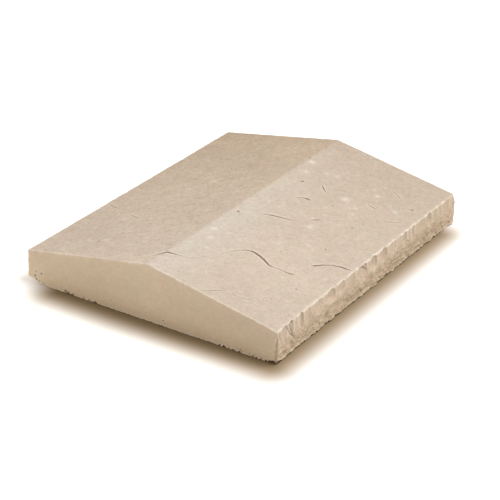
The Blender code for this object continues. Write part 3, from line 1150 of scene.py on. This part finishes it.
def noiseMask(tree, place, scale, detail, roughness=0.5):
    sockets = {"Vector": place, "Scale": scale, "Detail": detail, "Roughness": roughness}
    return addNode(tree, "TexNoise", sockets).outputs["Fac"]


def attribute(tree, name):
    return addNode(tree, "Attribute", attribute_name=name).outputs["Fac"]


def newGroup(name, inputs, outputs):
    group = bpy.data.node_groups.new(name, "ShaderNodeTree")
    for label, kind, value in inputs:
        socket = group.interface.new_socket(label, in_out="INPUT", socket_type=kind)
        if value is not None:
            socket.default_value = value
    for label, kind in outputs:
        group.interface.new_socket(label, in_out="OUTPUT", socket_type=kind)
    return group, group.nodes.new("NodeGroupInput").outputs, group.nodes.new("NodeGroupOutput").inputs


# Cloudy, mottled and grainy tone, 0.5 at the middle, and a height for bump
def mottleGroup():
    amounts = [(name.capitalize(), "NodeSocketFloat", 0.3) for name in finish["scales"]]
    group, given, put = newGroup(
        "mottledTone",
        [("Vector", "NodeSocketVector", None)] + amounts,
        [("Tone", "NodeSocketFloat"), ("Height", "NodeSocketFloat")],
    )
    turn = {"Vector": given["Vector"], "Angle": -finish["grainAngle"]}
    turned = addNode(group, "VectorRotate", turn, rotation_type="Z_AXIS").outputs[0]
    pull = {0: turned, 1: (1 / blooms["stretch"], 1.0, 1.0)}
    layered = addNode(group, "VectorMath", pull, operation="MULTIPLY").outputs[0]
    tone = 0.5
    masks = {}
    for name, scale in finish["scales"].items():
        vector = layered if name in ("patches", "mottle") else given["Vector"]
        masks[name] = noiseMask(group, vector, scale, 3.0)
        lifted = calc(group, "SUBTRACT", masks[name], 0.5)
        tone = calc(group, "MULTIPLY_ADD", lifted, given[name.capitalize()], tone)
    group.links.new(tone, put["Tone"])
    group.links.new(calc(group, "MULTIPLY_ADD", masks["grain"], 0.35, masks["mottle"]), put["Height"])
    return group


white = (1.0, 1.0, 1.0)


def stoneMaterial(mottle):
    material = bpy.data.materials.new("castStone")
    material.use_nodes = True
    tree = material.node_tree
    shader = tree.nodes["Principled BSDF"]
    place = addNode(tree, "TexCoord").outputs["Object"]
    slope, rough = attribute(tree, "slope"), attribute(tree, "rough")
    axes = addNode(tree, "SeparateXYZ", {0: place}).outputs
    leftSide = ramp01(tree, axes["Y"], *finish["ridgeBand"])
    weak, strong = finish["slopeContrast"]
    contrast = calc(tree, "MULTIPLY_ADD", leftSide, strong - weak, weak)

    body = addNode(tree, "Group", node_tree=mottle)
    tree.links.new(place, body.inputs["Vector"])
    for name in finish["scales"]:
        least, most = finish["onFaces"][name], finish["onSlope"][name]
        above = calc(tree, "MULTIPLY_ADD", contrast, most, -least)
        amount = calc(tree, "MULTIPLY_ADD", slope, above, least)
        amount = calc(tree, "MULTIPLY_ADD", rough, finish["roughTone"], amount)
        tree.links.new(amount, body.inputs[name.capitalize()])
    ramp = addNode(tree, "ValToRGB", {0: body.outputs["Tone"]})
    stops = ramp.color_ramp.elements
    stops[0].color = (*finish["dark"], 1)
    stops[1].color = (*finish["light"], 1)
    stops.new(0.5).color = (*finish["middle"], 1)

    hueMask = spread(tree, noiseMask(tree, place, finish["hue"]["scale"], 2.0), finish["hue"]["gain"])
    hue = blendColours(tree, hueMask, finish["pinkish"], finish["olive"])
    # partly painted light: the sides and gables are lighter towards the foot
    high = ramp01(tree, axes["Z"], *finish["heightBand"])
    side = blendColours(tree, high, *finish["sideTints"])
    end = blendColours(tree, high, *finish["endTints"])
    zone = blendColours(tree, slope, blendColours(tree, rough, end, side), white)
    colour = tinted(tree, tinted(tree, ramp.outputs["Color"], hue), zone)

    # the far end is duller and, left of the ridge, warmer
    onFaces = finish["farOnFaces"]
    share = calc(tree, "MULTIPLY_ADD", slope, 1 - onFaces, onFaces)
    far = {}
    for half, start in finish["farStart"].items():
        far[half] = multiply(tree, ramp01(tree, axes["X"], start, halfLength), share)
    leftTint = blendColours(tree, far["left"], white, finish["farLeft"])
    rightTint = blendColours(tree, far["right"], white, finish["farRight"])
    nearRidge = ramp01(tree, axes["Y"], *finish["nearRidge"])
    nearRidge = multiply(tree, nearRidge, calc(tree, "SUBTRACT", 1.0, far["right"]))
    rightTint = blendColours(tree, multiply(tree, nearRidge, slope), rightTint, finish["ridge"])
    colour = tinted(tree, colour, blendColours(tree, leftSide, rightTint, leftTint))

    # pale spots, then pale rims, partly wear and partly painted highlight, then painted shade in cracks,
    # holes and hollows
    marked = {}
    for name, amount in finish["amounts"].items():
        marked[name] = multiply(tree, attribute(tree, name), amount)
    patchy = finish["patchy"]
    mask = spread(tree, noiseMask(tree, place, patchy["scale"], 3.0), patchy["gain"])
    mask = calc(tree, "MULTIPLY_ADD", mask, patchy["more"], patchy["least"])
    # painted highlight on bulges, crack lips and pale edges
    rim = calc(tree, "ADD", calc(tree, "ADD", marked["convexHighlight"], marked["lipHighlight"]), marked["pale"])
    for amount, paleColour in ((marked["bloom"], "bloomColour"), (rim, "rimColour")):
        colour = blendColours(tree, multiply(tree, amount, mask, clamp=True), colour, finish[paleColour])
    # painted shade in cracks, holes, dents and the cut corner, and in hollows of the chiselled sides
    dark = calc(tree, "MAXIMUM", marked["recessShade"], multiply(tree, marked["hollow"], rough))
    colour = blendColours(tree, dark, colour, finish["paintedShadeColour"])
    tree.links.new(colour, shader.inputs["Base Color"])

    least, most = finish["roughness"]
    roughness = calc(tree, "MULTIPLY_ADD", body.outputs["Tone"], most - least, least, clamp=True)
    tree.links.new(roughness, shader.inputs["Roughness"])
    crumb = noiseMask(tree, place, finish["crumb"]["scale"], 4.0, 0.65)
    crumb = multiply(tree, crumb, multiply(tree, rough, finish["crumb"]["amount"]))
    height = calc(tree, "ADD", body.outputs["Height"], crumb)
    bump = addNode(tree, "Bump", {"Height": height, **finish["bump"]})
    tree.links.new(bump.outputs["Normal"], shader.inputs["Normal"])
    return material


mottle = mottleGroup()
mesh.materials.append(stoneMaterial(mottle))
print("finish: cast stone")
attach(cap, "root")
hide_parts("wall_cap")


# Floor, light and camera

# The photo's brown shade is painted on the floor as a shadow under the stone, moved towards the viewer and
# soft at its edge
floorShade = {
    # colour of the painted shadow at its darkest
    "colour": (0.214, 0.157, 0.086),
    "shift": (-0.0267, -0.0270),
    "halfSize": (0.2703, 0.2040),
    "softness": (0.038, 0.033),
    "shadowEdgeTint": (1.03, 0.97, 0.92),  # where it fades
    "tintPower": 6.0,
    "tintGain": 17.65,  # full tint where the shade is about six sevenths
    # the floor glows as a light, though it is no lamp, all round the painted shadow
    "glowAroundShadow": 0.26,  # of the bare floor around it
    "mottle": 0.03,
    "bareTone": 0.45,
    "reach": 6.0,
    "height": -0.0002,
}


# Mask of the painted shadow: 1 under the stone's outline moved towards the viewer, fading to 0 over its
# soft edge
def shadeMask(tree, place):
    axes = addNode(tree, "SeparateXYZ", {0: place})
    mask = 1.0
    for axis, name in enumerate("XY"):
        moved = calc(tree, "SUBTRACT", axes.outputs[name], floorShade["shift"][axis])
        reach = calc(tree, "SUBTRACT", calc(tree, "ABSOLUTE", moved), floorShade["halfSize"][axis])
        soft = floorShade["softness"][axis]
        sockets = {"Value": reach, "From Min": -soft, "From Max": soft, "To Min": 1.0, "To Max": 0.0}
        edge = addNode(tree, "MapRange", sockets, interpolation_type="SMOOTHSTEP").outputs[0]
        mask = multiply(tree, edge, mask)
    return mask


def makeFloor():
    floorMesh = bpy.data.meshes.new("floor")
    reach = floorShade["reach"]
    corners = [(x * reach, y * reach, 0) for x, y in ((-1, -1), (1, -1), (1, 1), (-1, 1))]
    floorMesh.from_pydata(corners, [], [(0, 1, 2, 3)])
    floor = bpy.data.objects.new("floor", floorMesh)
    floor.location.z = floorShade["height"]
    bpy.context.scene.collection.objects.link(floor)
    material = bpy.data.materials.new("paleFloor")
    material.use_nodes = True
    tree = material.node_tree
    shader = tree.nodes["Principled BSDF"]
    place = addNode(tree, "TexCoord").outputs["Object"]
    board = addNode(tree, "Group", node_tree=mottle)
    tree.links.new(place, board.inputs["Vector"])
    for name in finish["scales"]:
        board.inputs[name.capitalize()].default_value = floorShade["mottle"]
    bare = calc(tree, "ADD", board.outputs["Tone"], floorShade["bareTone"], clamp=True)
    mask = shadeMask(tree, place)
    # the painted shadow darkens the floor's colour and turns warmer where it fades
    fading = calc(tree, "POWER", mask, floorShade["tintPower"])
    fading = multiply(tree, fading, calc(tree, "SUBTRACT", 1.0, mask))
    fading = multiply(tree, fading, floorShade["tintGain"])
    shadowEdgeWarmth = blendColours(tree, fading, white, floorShade["shadowEdgeTint"])
    shade = blendColours(tree, mask, bare, floorShade["colour"])
    # painted light: the floor glows everywhere but under the painted shadow
    glowAroundShadow = blendColours(tree, mask, white, (0.0, 0.0, 0.0))
    for tone, socket in ((shade, "Base Color"), (glowAroundShadow, "Emission Color")):
        tree.links.new(tinted(tree, tone, shadowEdgeWarmth), shader.inputs[socket])
    shader.inputs["Emission Strength"].default_value = floorShade["glowAroundShadow"]
    shader.inputs["Roughness"].default_value = 0.9
    floorMesh.materials.append(material)


def areaLight(name, azimuth, elevation, distance, size, power, colour):
    a, e = math.radians(azimuth), math.radians(elevation)
    spot = Vector((math.sin(a) * math.cos(e), -math.cos(a) * math.cos(e), math.sin(e))) * distance
    data = bpy.data.lights.new(name, "AREA")
    data.shape = "DISK"
    data.size = size
    data.energy = power
    data.color = colour
    light = bpy.data.objects.new(name, data)
    light.location = spot
    light.rotation_euler = spot.to_track_quat("Z", "Y").to_euler()
    bpy.context.scene.collection.objects.link(light)


def makeLight():
    areaLight("softbox", azimuth=25, elevation=66, distance=2.4, size=1.6, power=62, colour=white)
    warm = (1, 0.86, 0.72)
    areaLight("fillCard", azimuth=-112, elevation=14, distance=1.8, size=1.0, power=9.8, colour=warm)
    world = bpy.data.worlds.new("studio")
    world.use_nodes = True
    background = world.node_tree.nodes["Background"]
    background.inputs["Color"].default_value = (1.0, 0.93, 0.84, 1)
    background.inputs["Strength"].default_value = 0.45
    bpy.context.scene.world = world
    bpy.context.scene.view_settings.view_transform = "Standard"


# The camera was matched to the photo's arrises: its place is given from the middle of the bed.
view = {
    "azimuth": -58.920,
    "elevation": 26.829,
    "roll": 1.965,
    "distance": 2.5387,
    "sideways": 0.00209,
    "upward": 0.00086,
    "focalPixels": 1764.7,
    "imagePixels": 500,
}


def makeCamera():
    a, e, r = (math.radians(view[k]) for k in ("azimuth", "elevation", "roll"))
    back = Vector((math.sin(a) * math.cos(e), -math.cos(a) * math.cos(e), math.sin(e)))
    level = Vector((math.cos(a), math.sin(a), 0))
    rise = back.cross(level)
    right = level * math.cos(r) + rise * math.sin(r)
    up = rise * math.cos(r) - level * math.sin(r)
    data = bpy.data.cameras.new("camera")
    data.sensor_width = 36
    data.lens = view["focalPixels"] / view["imagePixels"] * data.sensor_width
    camera = bpy.data.objects.new("camera", data)
    turn = Matrix((right, up, back)).transposed().to_4x4()
    spot = back * view["distance"] + right * view["sideways"] + up * view["upward"]
    camera.matrix_world = Matrix.Translation(spot) @ turn
    bpy.context.scene.collection.objects.link(camera)
    bpy.context.scene.camera = camera


makeFloor()
makeLight()
makeCamera()
print("floor, light and camera: set")
